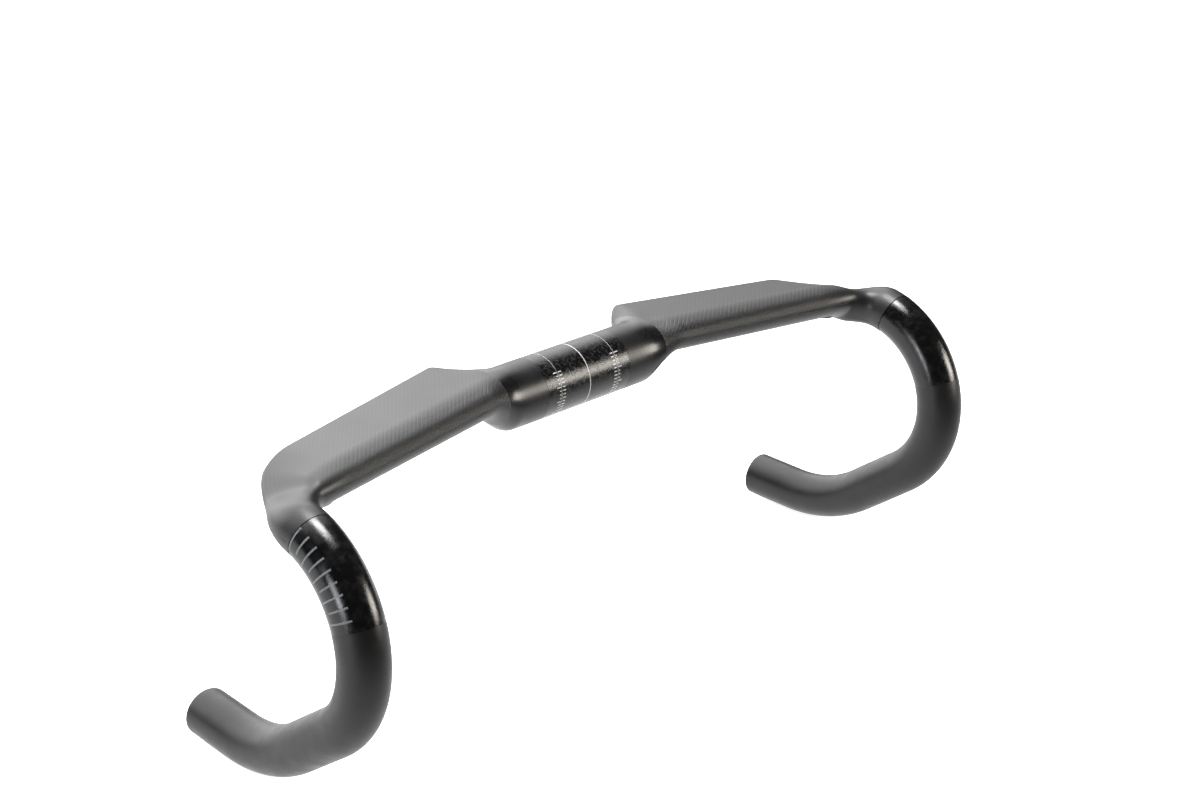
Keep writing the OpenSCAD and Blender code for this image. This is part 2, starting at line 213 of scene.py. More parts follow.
class Nodes(Tree):
    """The shader of one material, with short names for its textures."""

    def __init__(self, name):
        self.mat = bpy.data.materials.new(name)
        super().__init__(self.mat)
        self.out = self.new("OutputMaterial")
        self.bsdf = self.new("BsdfPrincipled")
        self.link(self.bsdf.outputs[0], self.out.inputs["Surface"])

    def set(self, **values):
        for key, value in values.items():
            self.bsdf.inputs[key.replace("_", " ")].default_value = value

    def mix(self, fac, a, b):
        node = self.new("Mix")
        node.data_type = "RGBA"
        self.link(fac, node.inputs["Factor"])
        node.inputs["A"].default_value = (*a, 1)
        node.inputs["B"].default_value = (*b, 1)
        return node.outputs["Result"]

    def place(self):
        node = self.new("TexCoord")
        return node.outputs["Object"]

    def from_middle(self):
        """Distance from the middle of the bar along the span, m."""
        return self.math("ABSOLUTE", self.split(self.place())["X"])

    def noise(self, scale, detail=3.0, rough=0.5):
        node = self.new("TexNoise")
        node.inputs["Scale"].default_value = scale
        node.inputs["Detail"].default_value = detail
        node.inputs["Roughness"].default_value = rough
        self.link(self.place(), node.inputs["Vector"])
        return node.outputs["Fac"]

    def cells(self, scale):
        node = self.new("TexVoronoi")
        node.inputs["Scale"].default_value = scale
        self.link(self.place(), node.inputs["Vector"])
        return node.outputs["Distance"]

    def bump(self, height, depth, strength=1.0, under=None):
        node = self.new("Bump")
        node.inputs["Distance"].default_value = depth
        node.inputs["Strength"].default_value = strength
        self.link(height, node.inputs["Height"])
        if under is not None:
            self.link(under, node.inputs["Normal"])
        return node.outputs["Normal"]

    def color(self, socket):
        self.link(socket, self.bsdf.inputs["Base Color"])

    def roughness(self, socket):
        self.link(socket, self.bsdf.inputs["Roughness"])

    def normal(self, socket):
        self.link(socket, self.bsdf.inputs["Normal"])


def twill_height(n):
    """2/2 twill laid along and across the span, from the weave UVs in mm.

    Gives its height, which tow is on top, and the distance from the nose.
    """
    uv = n.new("UVMap")
    uv.uv_map = "weave"
    place = n.split(uv.outputs["UV"])
    a = n.math("DIVIDE", place["X"], TOW)
    b = n.math("DIVIDE", place["Y"], TOW)
    fa, fb = n.math("FRACT", a), n.math("FRACT", b)
    ia, ib = n.math("FLOOR", a), n.math("FLOOR", b)

    def repeat(x, y):
        """Place within the twill's repeat, in tows."""
        return n.math("FLOORED_MODULO", n.math("ADD", x, y), REPEAT)

    def arch(across, along):
        """A tow is round across its width and bowed along its float."""
        s = n.math("SINE", n.math("MULTIPLY", across, math.pi))
        t = n.math("SINE", n.math("MULTIPLY", along, math.pi))
        s = n.math("POWER", n.math("ABSOLUTE", s), 0.6)
        t = n.math("POWER", n.math("ABSOLUTE", t), 0.7)
        return n.math("MULTIPLY", s, t)

    over = n.math("LESS_THAN", repeat(ia, ib), 1.5)
    warp = arch(fa, n.math("MULTIPLY", repeat(ia, b), 0.5))
    weft = arch(fb, n.math("MULTIPLY", n.math("SUBTRACT", repeat(a, ib), 2.0), 0.5))
    top = n.math("MULTIPLY", warp, over)
    rest = n.math("MULTIPLY", weft, n.math("SUBTRACT", 1.0, over))
    return n.math("ADD", top, rest), over, n.math("ABSOLUTE", place["Y"])


def make_weave():
    """Fine twill face ply under a satin coat, sanded smooth but for the nose."""
    n = Nodes("carbon_weave")
    height, over, far = twill_height(n)
    fibre = n.noise(2600, 2.0, 0.6)
    tone = n.math("MULTIPLY", n.ramp(over, 0.0, 1.0, 0.6, 1.2), n.ramp(fibre, 0.3, 0.7, 0.85, 1.1))
    tone = n.math("MULTIPLY", tone, 0.7, clamp=True)
    n.color(n.mix(tone, (0.003, 0.003, 0.0032), (0.012, 0.012, 0.0125)))
    seen = n.math("MULTIPLY", n.ramp(n.from_middle(), *WEAVE_ENDS, 1.0, 0.0),
                  n.ramp(far, *WEAVE_FADES, 1.0, SANDED))
    cloud = n.ramp(n.noise(28, 4.0, 0.6), 0.3, 0.75, 0.39, 0.42)
    shine = n.math("MULTIPLY", seen, n.ramp(over, 0.0, 1.0, 0.0, -0.1))
    n.roughness(n.math("ADD", cloud, shine))
    relief = n.bump(n.math("MULTIPLY", seen, height), 0.00011)
    n.normal(n.bump(fibre, 0.00001, 0.4, relief))
    n.set(Specular_IOR_Level=0.6)
    return n.mat


def make_satin(name, low, high, rough):
    """Satin coat over uni-directional fibre, with the faint clouding of sanding."""
    n = Nodes(name)
    cloud = n.noise(55, 5.0, 0.6)
    n.color(n.mix(n.ramp(cloud, 0.3, 0.75, 0.0, 1.0), low, high))
    n.roughness(n.ramp(n.noise(160, 3.0, 0.6), 0.3, 0.7, rough - 0.04, rough + 0.04))
    grain = n.noise(1900, 2.0, 0.7)
    n.normal(n.bump(grain, 0.00002, 0.5, n.bump(cloud, 0.0003, 0.1)))
    n.set(Specular_IOR_Level=0.5)
    return n.mat


def make_gloss():
    """Coat of the centre: satin beside the film, glossy out at the wings."""
    n = Nodes("carbon_gloss")
    mottle = n.ramp(n.noise(420, 4.0, 0.7), 0.45, 0.7, 0.0, 1.0)
    n.color(n.mix(mottle, (0.005, 0.005, 0.0055), (0.012, 0.012, 0.013)))
    coat = n.ramp(n.from_middle(), *GLOSS_FROM, 0.34, 0.2)
    n.roughness(n.math("ADD", coat, n.ramp(n.noise(45, 4.0, 0.6), 0.3, 0.75, 0.0, 0.06)))
    peel = n.noise(300, 2.0, 0.5)
    nibs = n.ramp(n.cells(330), 0.0, 0.12, 1.0, 0.0)
    n.normal(n.bump(nibs, 0.00004, 0.5, n.bump(peel, 0.00005, 0.35)))
    n.set(Specular_IOR_Level=0.5)
    return n.mat


def make_grip(name, grit, depth, smooth_rough, coarse_rough, pale):
    """Film over grit: glossy between cloudy patches where the grit shows."""
    n = Nodes(name)
    grains = n.noise(grit, 4.0, 0.68)
    clouds = n.noise(grit * 0.2, 5.0, 0.7)
    scuffed = n.ramp(clouds, 0.46, 0.6, 0.0, 1.0)
    n.color(n.mix(scuffed, (0.003, 0.003, 0.0033), (pale, pale, pale * 1.05)))
    n.roughness(n.ramp(clouds, 0.46, 0.6, smooth_rough, coarse_rough))
    n.normal(n.bump(grains, depth))
    n.set(Specular_IOR_Level=0.55)
    return n.mat


def make_ink(name, tone, worn):
    """Printed ink, thin and uneven enough to let the dark film through."""
    n = Nodes(name)
    wear = n.noise(1500, 4.0, 0.7)
    n.color(n.mix(n.ramp(wear, 0.3, 0.55, 0.0, 1.0), worn, tone))
    n.set(Roughness=0.42)
    n.normal(n.bump(wear, 0.00002, 0.4))
    return n.mat


def make_rubber():
    n = Nodes("rubber")
    n.color(n.mix(n.noise(120, 3.0, 0.6), (0.012, 0.012, 0.012), (0.028, 0.028, 0.028)))
    n.roughness(n.ramp(n.noise(500, 3.0, 0.6), 0.3, 0.7, 0.55, 0.75))
    n.normal(n.bump(n.noise(2200, 2.0, 0.6), 0.00003, 0.5))
    return n.mat


weave = make_weave()
satin = make_satin("carbon_satin", (0.004, 0.004, 0.0042), (0.008, 0.008, 0.0085), 0.38)
raw = make_satin("carbon_raw", (0.012, 0.012, 0.013), (0.03, 0.03, 0.031), 0.6)
gloss = make_gloss()
grip = make_grip("grip_film", grit=3300, depth=0.000065,
                 smooth_rough=0.13, coarse_rough=0.3, pale=0.02)
lever_grip = make_grip("lever_film", grit=1300, depth=0.00006,
                       smooth_rough=0.15, coarse_rough=0.24, pale=0.008)
ink = make_ink("print_white", (0.88, 0.88, 0.88), (0.4, 0.4, 0.4))
grey_ink = make_ink("print_grey", (0.2, 0.225, 0.235), (0.08, 0.09, 0.095))
rubber = make_rubber()

# ---- Shape of the bar, with the values of part.scad ---------------------------
# A station is the span position up to the elbow, then the span position of
# the elbow's pivot plus the degrees turned around it. Distances in plan are
# measured from that pivot: along Y up to the elbow, and outward around it.
HALF_W = 200.0                   # middle of the bar to a drop's axis at the lever
CLAMP_R = 15.9
CLAMP_WALL = 3.0
SHOULDER_WALL = 3.0
SKIN_WALL = 1.8
DROP_R = 11.9
DROP_RI = 9.7                    # inside radius of the drop tubes
X_TUBE = 42.0                    # clamp tube to shoulder joint
X_SKIN = 54.0                    # shoulder to wing skin joint
FLARE_FROM, FLARE_TO = 45.0, 66.0  # where the round tube turns into the wing
FILM_HALF = 28.25                # half the length of the clamp's grip film
FILM_T = 0.15                    # thickness of the grip films

WING_H = 18.0                    # height of the wing section at its nose
NOSE_SHARE = 0.3                 # rounded nose's share of the chord
TAIL_T = 3.6                     # thickness of the trailing edge
TAIL_SHARE = 0.05                # rounded tail's share of the chord
BELLY = 1.7                      # how fast the section thickens from there
TAIL_INSET = 4.0                 # inset of the inner tail per mm of wall
THIN = 0.25                      # least half thickness of the inner tail
NOSE_SWEEP, TAIL_SWEEP = 0.1385, 0.171    # forward sweep, mm per mm of span
NOSE_DROOP, TAIL_DROOP = 0.0395, 0.0655   # fall of the top, mm per mm of span
X_REF = 64.0                     # root of the wing, where its edges are
NOSE_Y, TAIL_Y = -18.6, 30.4
NOSE_TOP, TAIL_TOP = 15.6, 14.6
CORNER_POW = 14.0                # sharpness of the rear outer corner
CUT_ANGLE = 55.0                 # direction of the cut across that corner
CUT_DIST = 33.0                  # its distance from the pivot
TAIL_FALL = 12.0                 # fall of the outer edge around the elbow
FALL_FROM = 165.0                # station where the fall starts
FALL_LEN = 40.0                  # stations over which it falls

ARM = 20.0                       # elbow's pivot to the drop tube's axis
PIVOT_X, PIVOT_Y = HALF_W - ARM, -43.0
TOE = 1.7                        # angle by which the drops run inward to the rear
TURN = 90.0 - TOE                # angle turned by the elbow
ROUND_ANGLE = 86.0               # elbow angle at which the wing section ends
LEVER_SLOPE = 16.0               # slope of the tube where it leaves the elbow
SLOPE_FROM = 45.0                # elbow angle at which the tube starts to fall
ELBOW_Z = -4.9                   # height of the tube's axis where the hook starts
NECK_ANGLE = 6.5                 # part of the hook bend that belongs to the elbow
NECK_FROM = 45.0                 # elbow angle at which the neck starts to widen
NECK_IN = 1.4                    # how much narrower than the drop tube it is
NECK_LOW = 2.2                   # and how much lower its top lies

HOOK_R, HOOK_ANGLE = 51.0, 130.0
LOWER_RUN = 33.0                 # straight run below the hook
END_R, END_ANGLE = 74.5, 38.5    # the bend after it
END_RUN = 27.0                   # straight run at the open end
LEVER_FILM = 50.0                # angle of the hook bend under the lever film
LEVER_MARKS = 9
TINY = 0.02                      # keeps the plan's formulas from dividing by 0


def rad(angle):
    return math.radians(angle)


def smooth(t):
    t = min(1.0, max(0.0, t))
    return t * t * (3 - 2 * t)


def bend_of(u):
    """Degrees turned around the elbow at station u."""
    return max(0.0, u - PIVOT_X)


def inner_edge(u):
    """Plan distance of the bar's front, or inner, edge at station u."""
    nose = NOSE_Y - NOSE_SWEEP * (min(u, PIVOT_X) - X_REF) - PIVOT_Y
    return nose + (ARM - DROP_R - nose) * smooth(bend_of(u) / TURN)


def outer_edge(u):
    """The same for the rear, or outer, edge: tail, cut and side, blended."""
    a = bend_of(u)
    tail = TAIL_Y - TAIL_SWEEP * (min(u, PIVOT_X) - X_REF) - PIVOT_Y
    if a == 0:
        rear = tail
        cut = (CUT_DIST + (PIVOT_X - u) * math.sin(rad(CUT_ANGLE))) / math.cos(rad(CUT_ANGLE))
    else:
        rear = tail / max(TINY, math.cos(rad(a)))
        cut = CUT_DIST / math.cos(rad(a - CUT_ANGLE))
    side = (ARM + DROP_R) / max(TINY, math.sin(rad(a)))
    p = CORNER_POW
    return (rear ** -p + cut ** -p + side ** -p) ** (-1 / p)


def wing_point(u, f, g):
    """Plan distance and height of the wing section's points at angles f.

    f runs from 0 at the tail over the top to 180 at the nose and back below,
    and g is the inset from the outer surface.
    """
    t = (1 - np.cos(np.radians(f))) / 2
    tail, nose = outer_edge(u) - TAIL_INSET * g, inner_edge(u) + g
    half, thin = WING_H / 2 - g, max(THIN, TAIL_T / 2 - g)
    k = np.clip((t - TAIL_SHARE) / (1 - TAIL_SHARE - NOSE_SHARE), 0, 1)
    th = thin + (half - thin) * (1 - (1 - k) ** BELLY)
    span = min(u, PIVOT_X) - X_REF
    nose_top = NOSE_TOP - NOSE_DROOP * span
    tail_top = TAIL_TOP - TAIL_DROOP * span - TAIL_FALL * smooth((u - FALL_FROM) / FALL_LEN)
    top = tail_top + (nose_top - tail_top) * t - g
    a = np.clip((TAIL_SHARE - t) / TAIL_SHARE, 0, 1)
    b = np.clip((t - 1 + NOSE_SHARE) / NOSE_SHARE, 0, 1)
    rounded = np.sqrt(np.maximum(0, 1 - a * a)) * np.sqrt(np.maximum(0, 1 - b * b))
    return np.stack([tail + (nose - tail) * t,
                     top - th + np.sign(np.sin(np.radians(f))) * th * rounded], -1)


def section(u, f, g=0.0):
    """Points of the bar's section at station u and angles f, inset by g.

    It blends from the round clamp tube to the wing, and around the elbow
    from the wing to the round neck of the drop.
    """
    c, s = np.cos(np.radians(f)), np.sin(np.radians(f))
    p = wing_point(u, f, g)
    flare = smooth((u - FLARE_FROM) / (FLARE_TO - FLARE_FROM))
    clamp = np.stack([-PIVOT_Y + (CLAMP_R - g) * c, (CLAMP_R - g) * s], -1)
    p = clamp + (p - clamp) * flare
    share = 1 - smooth((bend_of(u) - NECK_FROM) / (TURN + NECK_ANGLE - NECK_FROM))
    slim, low = NECK_IN / 2 * share, NECK_LOW / 2 * share
    t = min(1.0, max(0.0, (TURN - bend_of(u)) / (TURN - SLOPE_FROM)))
    rise = math.tan(rad(LEVER_SLOPE)) * ARM * rad(TURN - SLOPE_FROM) * (t - t * t / 2)
    drop = np.stack([ARM - slim + (DROP_R - slim - g) * c,
                     ELBOW_Z + rise - low + (DROP_R - low - g) * s], -1)
    p = p + (drop - p) * smooth((u - PIVOT_X) / ROUND_ANGLE)
    a = bend_of(u)
    d, z = p[:, 0], p[:, 1]
    if a == 0:
        return np.stack([np.full_like(d, u), PIVOT_Y + d, z], -1)
    past = max(0.0, a - TURN)
    a = rad(min(a, TURN))
    lean = rad(LEVER_SLOPE) * smooth(a / rad(TURN))
    up = z - ELBOW_Z
    q = np.stack([PIVOT_X + d * math.sin(a) + up * math.sin(lean) * math.cos(a),
                  PIVOT_Y + d * math.cos(a) - up * math.sin(lean) * math.sin(a),
                  ELBOW_Z + up * math.cos(lean)], -1)
    return hook_turn(q, rad(past))


def hook_turn(q, h):
    """Turns points by h, in radians, along the hook bend."""
    c, s = math.cos(rad(TOE)), math.sin(rad(TOE))
    cy = PIVOT_Y + HOOK_R * math.sin(rad(LEVER_SLOPE))
    cz = ELBOW_Z - HOOK_R * math.cos(rad(LEVER_SLOPE))
    dx, dy = q[:, 0] - HALF_W, q[:, 1] - PIVOT_Y
    x = dx * c + dy * s
    y, z = PIVOT_Y - dx * s + dy * c - cy, q[:, 2] - cz
    y, z = (cy + y * math.cos(h) - z * math.sin(h), cz + y * math.sin(h) + z * math.cos(h))
    return to_bar(x, y, z)


def to_bar(x, y, z):
    """From the drop's own plane, turned by the toe angle, to the bar's frame."""
    c, s = math.cos(rad(TOE)), math.sin(rad(TOE))
    return np.stack([HALF_W + x * c - (y - PIVOT_Y) * s,
                     PIVOT_Y + x * s + (y - PIVOT_Y) * c, z + 0 * x], -1)


SOFTEN = 10.0                    # stations on both sides of the elbow's start
NEAR_U, NEAR_F = 0.2, 0.6        # steps over which a slope is taken


def surface_normals(u, f):
    """Outward normals of the outer surface at station u and angles f.

    Around the start of the elbow they average over a longer stretch, so that
    the change of slope there shades as softly as a sanded and coated part.
    """
    du = NEAR_U + SOFTEN * max(0.0, 1 - abs(u - PIVOT_X) / (2 * SOFTEN))
    along = section(u + du, f) - section(u - du, f)
    around = section(u, f + NEAR_F) - section(u, f - NEAR_F)
    n = np.cross(along, around)
    n /= np.maximum(1e-9, np.linalg.norm(n, axis=1))[:, None]
    centre = section(u, np.arange(0, 360, 10.0)).mean(0)
    out = np.sum(n * (section(u, f) - centre), 1)
    return n * (1 if out.sum() > 0 else -1)


# ---- Meshes ---------------------------------------------------------------------
OUTER, INNER, RIM = range(3)     # kinds of face in a skin


def make_object(name, verts, faces, material, node):
    """Mesh object from points in mm, in place of the CAD's node."""
    data = bpy.data.meshes.new(name)
    data.from_pydata((np.asarray(verts) * MM).tolist(), [], faces)
    data.update()
    bm = bmesh.new()
    bm.from_mesh(data)
    bmesh.ops.recalc_face_normals(bm, faces=bm.faces)
    bm.to_mesh(data)
    bm.free()
    data.materials.append(material)
    ob = bpy.data.objects.new(name, data)
    scene.collection.objects.link(ob)
    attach(ob, "root")
    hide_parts(node)
    return ob


def shade(ob, angle):
    """Smooth shading, but for edges sharper than angle."""
    ob.data.shade_smooth()
    ob.data.set_sharp_from_angle(angle=rad(angle))


def flip(points, side):
    """Mirrors the points of the left side for side -1."""
    return np.asarray(points) * np.array([side, 1.0, 1.0])


def skin_faces(m, n, closed):
    """Faces of a shell over m stations of n points, and the kind of each.

    The points of the inside follow all those of the outside.
    """
    shift = m * n
    cols = n if closed else n - 1
    faces, kinds = [], []
    for j in range(m - 1):
        for i in range(cols):
            k = (i + 1) % n
            quad = (j * n + i, j * n + k, (j + 1) * n + k, (j + 1) * n + i)
            faces += [quad, tuple(shift + q for q in quad)]
            kinds += [OUTER, INNER]
    for j in (0, m - 1):
        for i in range(cols):
            k = (i + 1) % n
            faces.append((j * n + i, j * n + k, shift + j * n + k, shift + j * n + i))
            kinds.append(RIM)
    if not closed:
        for i in (0, n - 1):
            for j in range(m - 1):
                a, b = j * n + i, (j + 1) * n + i
                faces.append((a, b, shift + b, shift + a))
                kinds.append(RIM)
    return faces, kinds


def set_normals(data, kinds, normals, shift):
    """Gives a skin the exact normals of its surface, and a sharp rim."""
    data.shade_smooth()
    loops = np.zeros((len(data.loops), 3))
    for poly in data.polygons:
        kind = kinds[poly.index]
        for li in poly.loop_indices:
            v = data.loops[li].vertex_index
            if kind == OUTER:
                loops[li] = normals[v]
            elif kind == INNER:
                loops[li] = -normals[v - shift]
            else:
                loops[li] = poly.normal
    data.normals_split_custom_set(loops.tolist())


def run_of(points):
    """Distances of the points of a line from its start, along the line."""
    steps = np.linalg.norm(np.diff(points, axis=0), axis=1)
    return np.concatenate([[0], np.cumsum(steps)])


def add_weave_uv(data, outer, f, shift, side):
    """UVs in mm: along the span, +X on both sides, and around from the nose."""
    nose = int(np.argmin(np.abs(f - 180)))
    middles = np.array([ring[len(ring) // 2] for ring in outer])
    rows = []
    for ring, run in zip(outer, run_of(middles)):
        around = run_of(ring)
        rows.append(np.stack([np.full(len(ring), side * run), around - around[nose]], -1))
    uv = np.concatenate(rows)
    layer = data.uv_layers.new(name="weave")
    index = np.array([loop.vertex_index for loop in data.loops])
    index = np.where(index >= shift, index - shift, index)
    layer.data.foreach_set("uv", uv[index].astype(np.float32).ravel())


def skin(name, stations, f, wall, side, material, node, closed=False):
    """Shell between the outer surface and its inset, over the angles f."""
    outer = [section(u, f) for u in stations]
    inner = [section(u, f, wall) for u in stations]
    normals = np.concatenate([surface_normals(u, f) for u in stations])
    shift = len(normals)
    faces, kinds = skin_faces(len(stations), len(f), closed)
    verts = flip(np.concatenate([*outer, *inner]), side)
    ob = make_object(name, verts, faces, material, node)
    set_normals(ob.data, kinds, flip(normals, side), shift)
    add_weave_uv(ob.data, outer, f, shift, side)
    return ob


def ring_solid(name, rings, material, node, side=1):
    """Closed solid through rings of points: the last ring joins the first."""
    m, n = len(rings), len(rings[0])
    faces = []
    for j in range(m):
        for i in range(n):
            k, l = (i + 1) % n, (j + 1) % m
            faces.append((j * n + i, j * n + k, l * n + k, l * n + i))
    ob = make_object(name, flip(np.concatenate(rings), side), faces, material, node)
    shade(ob, 35)


def patch(p_range, q_range, rows, cols, place):
    """Closed thin solid on a surface: place(p, q, layer) gives a point."""
    verts, faces = [], []
    for layer in (0, 1):
        for p in np.linspace(*p_range, rows):
            for q in np.linspace(*q_range, cols):
                verts.append(place(p, q, layer))

    def at(layer, i, j):
        return layer * rows * cols + i * cols + j

    for i in range(rows - 1):
        for j in range(cols - 1):
            for layer in (0, 1):
                faces.append((at(layer, i, j), at(layer, i + 1, j),
                              at(layer, i + 1, j + 1), at(layer, i, j + 1)))
    for i in range(rows - 1):
        for j in (0, cols - 1):
            faces.append((at(0, i, j), at(0, i + 1, j), at(1, i + 1, j), at(1, i, j)))
    for j in range(cols - 1):
        for i in (0, rows - 1):
            faces.append((at(0, i, j), at(0, i, j + 1), at(1, i, j + 1), at(1, i, j)))
    return verts, faces


def marks(name, patches, material, node, side=1):
    """One object of several printed patches."""
    verts, faces = [], []
    for more_verts, more_faces in patches:
        base = len(verts)
        verts += more_verts
        faces += [tuple(base + k for k in face) for face in more_faces]
    ob = make_object(name, flip(verts, side), faces, material, node)
    shade(ob, 50)


def circle(n):
    """Angles of n points around a circle, in radians."""
    return np.linspace(0, 2 * math.pi, n, endpoint=False)


def turned(profile, n=160):
    """Rings around the X axis from (x, r) pairs."""
    a = circle(n)
    return [np.stack([np.full(n, x), r * np.cos(a), r * np.sin(a)], -1) for x, r in profile]


# ---- Centre -------------------------------------------------------------------
CLAMP_RI = CLAMP_R - CLAMP_WALL
FILM_SEAT = CLAMP_R - FILM_T     # bottom of the recess that the film lies in
FILM_TOP = CLAMP_R + 0.04
FILM_EDGE = CLAMP_R - 0.05       # the film's edges dip below the tube
EDGE_W = 0.12                    # over this width
FILM_FLAT = 27.0                 # the film's top is flat this far out

INK_LIFT, INK_T = 0.03, 0.05     # underside of the ink above a tube, thickness
RING = (-180, 179.9)             # all around the clamp, but for a hair
RING_ROWS = 121
CENTRE_LINE = (-0.2, 0.2)        # its edges along the span
SCALE_X = 19.5                   # span position of the clamp's angle scale
SCALE_LINE = (SCALE_X - 0.07, SCALE_X + 0.07)
DASHES = 13
DASH_FIRST = 38.0                # angle of the first dash above the front
DASH_STEP = 6.8
DASH_W = 0.5
# Span of the dashes from the scale's line, towards the middle of the bar and
# away from it, the latter long or short
DASH_INNER, DASH_LONG, DASH_SHORT = (-2.6, -0.7), (0.5, 2.8), (0.5, 1.4)
LONG_EVERY = 4

ring_solid("clamp_tube_body", turned([
    (-X_TUBE, CLAMP_R), (-FILM_HALF, CLAMP_R), (-FILM_HALF, FILM_SEAT), (FILM_HALF, FILM_SEAT),
    (FILM_HALF, CLAMP_R), (X_TUBE, CLAMP_R), (X_TUBE, CLAMP_RI), (-X_TUBE, CLAMP_RI)]),
    gloss, "clamp_tube")
ring_solid("grip_band", turned(
    [(-FILM_HALF, FILM_SEAT), (-FILM_HALF, FILM_EDGE), (-FILM_HALF + EDGE_W, FILM_TOP)]
    + [(x, FILM_TOP) for x in np.linspace(-FILM_FLAT, FILM_FLAT, 19)]
    + [(FILM_HALF - EDGE_W, FILM_TOP), (FILM_HALF, FILM_EDGE), (FILM_HALF, FILM_SEAT)]),
    grip, "clamp_grip_film")


def on_clamp(angle, x, layer):
    """Point on the clamp band; angle is measured up from the front."""
    r = CLAMP_R + INK_LIFT + INK_T * layer
    return (x, -r * math.cos(rad(angle)), r * math.sin(rad(angle)))


def clamp_scale():
    """A fine line with dashes on both sides of it; some of the outer ones are long."""
    half = math.degrees(DASH_W / 2 / CLAMP_R)
    patches = [patch(RING, SCALE_LINE, RING_ROWS, 2, on_clamp)]
    for i in range(DASHES):
        a = DASH_FIRST - i * DASH_STEP
        for x0, x1 in (DASH_INNER, DASH_SHORT if i % LONG_EVERY else DASH_LONG):
            patches.append(patch((a - half, a + half), (SCALE_X + x0, SCALE_X + x1), 3, 2, on_clamp))
    return patches


marks("centre_line", [patch(RING, CENTRE_LINE, RING_ROWS, 2, on_clamp)], ink,
      "clamp_centre_mark")
for side, word in SIDES:
    marks("angle_scale_" + word, clamp_scale(), ink, "clamp_scale_" + word, side)

# ---- Shoulders, wings and elbows ----------------------------------------------
SHOULDER_U = np.linspace(X_TUBE, X_SKIN, 25)
SKIN_U = np.concatenate([np.arange(X_SKIN, FLARE_TO, 0.5),
                         np.linspace(FLARE_TO, PIVOT_X, 50)[:-1],
                         PIVOT_X + TURN * np.linspace(0, 1, 56)[:-1],
                         PIVOT_X + TURN + NECK_ANGLE * np.linspace(0, 1, 6)])
FULL_F = np.linspace(0, 360, 144, endpoint=False)
UPPER_F = np.linspace(0, 180, 73)
LOWER_F = np.linspace(180, 360, 73)
lower_skins = {}
for side, word in SIDES:
    skin("shoulder_shell_" + word, SHOULDER_U, FULL_F, SHOULDER_WALL, side, gloss,
         "shoulder_" + word, closed=True)
    skin("wing_top_" + word, SKIN_U, UPPER_F, SKIN_WALL, side, weave,
         "wing_upper_skin_" + word)
    lower_skins[word] = skin("wing_under_" + word, SKIN_U, LOWER_F, SKIN_WALL, side, weave,
                             "wing_lower_skin_" + word)

# ---- Drops ----------------------------------------------------------------------
LIP = 0.9                        # rounding of the open end's outer edge
LEVER_FILM_TOP = DROP_R + 0.02
LEVER_MARK_W = 0.9               # width of a mark as an angle of the bend
# Long and short marks start in turn at these angles around the tube, from its
# outer side, and all end at the same one
LEVER_MARK_FROM = (-14, -2.4)
LEVER_MARK_TO = 48


def along(a):
    """Direction of a path with slope a, as (Y, Z) in the drop's plane."""
    return np.array([-math.cos(rad(a)), -math.sin(rad(a))])


def inward(a):
    """Direction to the middle of its bend."""
    return np.array([math.sin(rad(a)), -math.cos(rad(a))])


def arc(p, a, r, turn, step):
    """Stations (centre, slope) around a bend, its start left out."""
    count = max(2, int(math.ceil(turn / step)))
    return [(p + r * inward(a) - r * inward(a + t), a + t)
            for t in np.linspace(0, turn, count + 1)[1:]]


def line(p, a, length):
    """Stations along a straight run, its start left out."""
    count = max(2, int(math.ceil(length / 3)))
    return [(p + s * along(a), a) for s in np.linspace(0, length, count + 1)[1:]]


def on_hook(angle):
    """Station on the hook bend, angle degrees after its start."""
    start, a = np.array([PIVOT_Y, ELBOW_Z]), LEVER_SLOPE
    return start + HOOK_R * inward(a) - HOOK_R * inward(a + angle), a + angle


def drop_path():
    """Stations from the neck to the open end, and how many the film covers."""
    path = [on_hook(NECK_ANGLE)]
    path += arc(*path[-1], HOOK_R, LEVER_FILM, 1.5)
    film_end = len(path)
    path += arc(*path[-1], HOOK_R, HOOK_ANGLE - NECK_ANGLE - LEVER_FILM, 1.5)
    path += line(*path[-1], LOWER_RUN)
    path += arc(*path[-1], END_R, END_ANGLE, 1.2)
    path += line(*path[-1], END_RUN)
    return path, film_end


PATH, FILM_END = drop_path()


def tube_ring(station, r, shift=0.0):
    """Ring of radius r at a station, shifted along the path."""
    (y, z), a = station
    f = circle(112)
    out = -inward(a)
    y, z = y + shift * along(a)[0], z + shift * along(a)[1]
    return to_bar(r * np.sin(f), y + r * np.cos(f) * out[0], z + r * np.cos(f) * out[1])


def lip(r, size, angles):
    """Rings that round the open end's edge of radius r; inside, size is negative."""
    return [tube_ring(PATH[-1], r - size + size * math.cos(rad(t)),
                      shift=abs(size) * (math.sin(rad(t)) - 1)) for t in angles]


def drop_rings():
    rings = [tube_ring(s, DROP_R - FILM_T) for s in PATH[:FILM_END]]
    rings += [tube_ring(s, DROP_R) for s in PATH[FILM_END - 1:-1]]
    rings += lip(DROP_R, LIP, np.linspace(0, 90, 7))
    rings += lip(DROP_RI, -LIP / 2, np.linspace(90, 0, 5))
    rings += [tube_ring(s, DROP_RI) for s in PATH[-2::-1]]
    return rings


def film_rings():
    outer = PATH[:FILM_END]
    rings = [tube_ring(outer[0], DROP_R - FILM_T), tube_ring(outer[0], DROP_R)]
    rings += [tube_ring(s, LEVER_FILM_TOP) for s in outer[1:-1]]
    rings += [tube_ring(outer[-1], DROP_R)]
    rings += [tube_ring(s, DROP_R - FILM_T) for s in outer[:0:-1]]
    return rings


